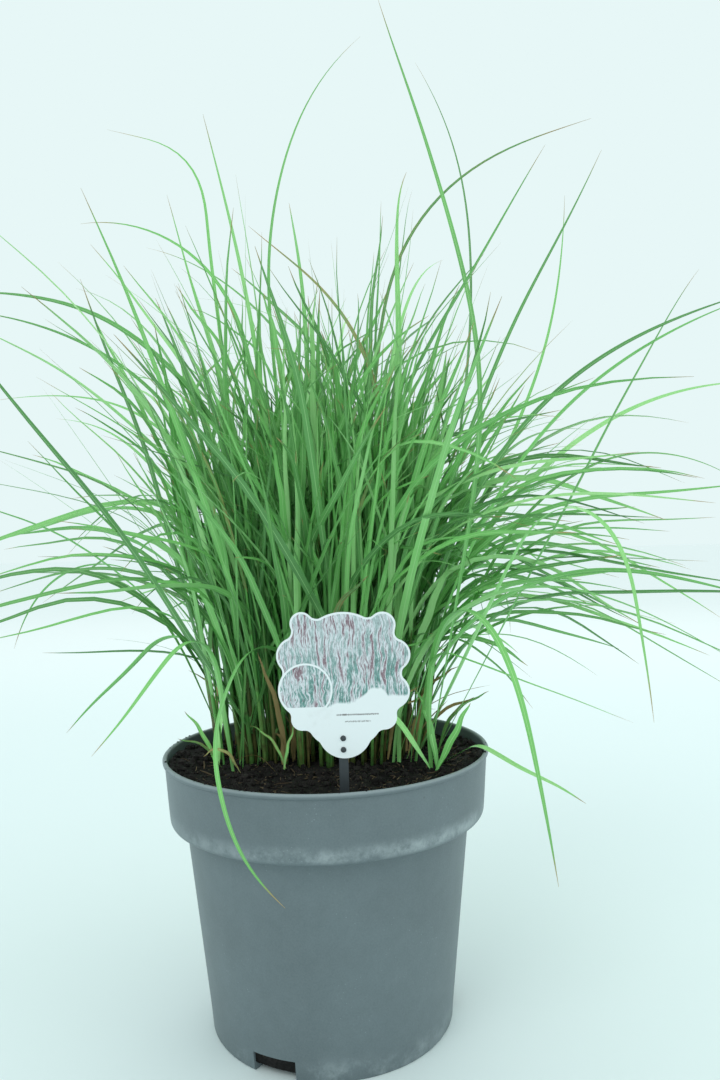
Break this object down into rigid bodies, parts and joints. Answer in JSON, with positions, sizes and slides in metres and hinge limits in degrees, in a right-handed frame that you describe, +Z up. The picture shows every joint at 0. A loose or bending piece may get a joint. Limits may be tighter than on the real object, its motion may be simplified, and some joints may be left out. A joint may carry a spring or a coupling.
{
  "type": "potted miscanthus grass clump",
  "caption": "Miscanthus grass clump with upright culms and long arching blades, growing in a round collared nursery pot of peat with a scalloped plant label on a stake.",
  "frame": {"origin": "middle of the flat underside of the pot", "axes": "+Z up along the pot's axis, -Y toward the side where the label stands, +X to the right seen from that side"},
  "size_m": [0.6897, 0.4737, 0.7204],
  "materials": {
    "pot": "matt moulded grey-blue plastic, scuffed and dusty at the collar edge",
    "soil": "loose dark peat with tan fibres",
    "tag_plate": null,
    "tag_stake": "matt dark grey plastic",
    "culm": "smooth green to brown grass stem",
    "leaf": "satin green blade with a pale midrib"
  },
  "bodies": {
    "root": {"pot": "pot", "soil": "soil", "tag_plate": "tag_plate", "tag_stake": "tag_stake", "culm_01": "culm", "culm_02": "culm", "culm_03": "culm", "culm_04": "culm", "culm_05": "culm", "culm_06": "culm", "culm_07": "culm", "culm_08": "culm", "culm_09": "culm", "culm_10": "culm", "culm_11": "culm", "culm_12": "culm", "culm_13": "culm", "culm_14": "culm", "culm_15": "culm", "culm_16": "culm", "leaf_01": "leaf", "leaf_02": "leaf", "leaf_03": "leaf", "leaf_04": "leaf", "leaf_05": "leaf", "leaf_06": "leaf", "leaf_07": "leaf", "leaf_08": "leaf", "leaf_09": "leaf", "leaf_10": "leaf", "leaf_11": "leaf", "leaf_12": "leaf", "leaf_13": "leaf", "leaf_14": "leaf", "leaf_15": "leaf", "leaf_16": "leaf", "leaf_17": "leaf", "leaf_18": "leaf", "leaf_19": "leaf", "leaf_20": "leaf", "leaf_21": "leaf", "leaf_22": "leaf", "leaf_23": "leaf", "leaf_24": "leaf", "leaf_25": "leaf", "leaf_26": "leaf", "leaf_27": "leaf", "leaf_28": "leaf", "leaf_29": "leaf", "leaf_30": "leaf", "leaf_31": "leaf", "leaf_32": "leaf", "leaf_33": "leaf", "leaf_34": "leaf", "leaf_35": "leaf", "leaf_36": "leaf", "leaf_37": "leaf", "leaf_38": "leaf", "leaf_39": "leaf", "leaf_40": "leaf"}
  },
  "joints": []
}
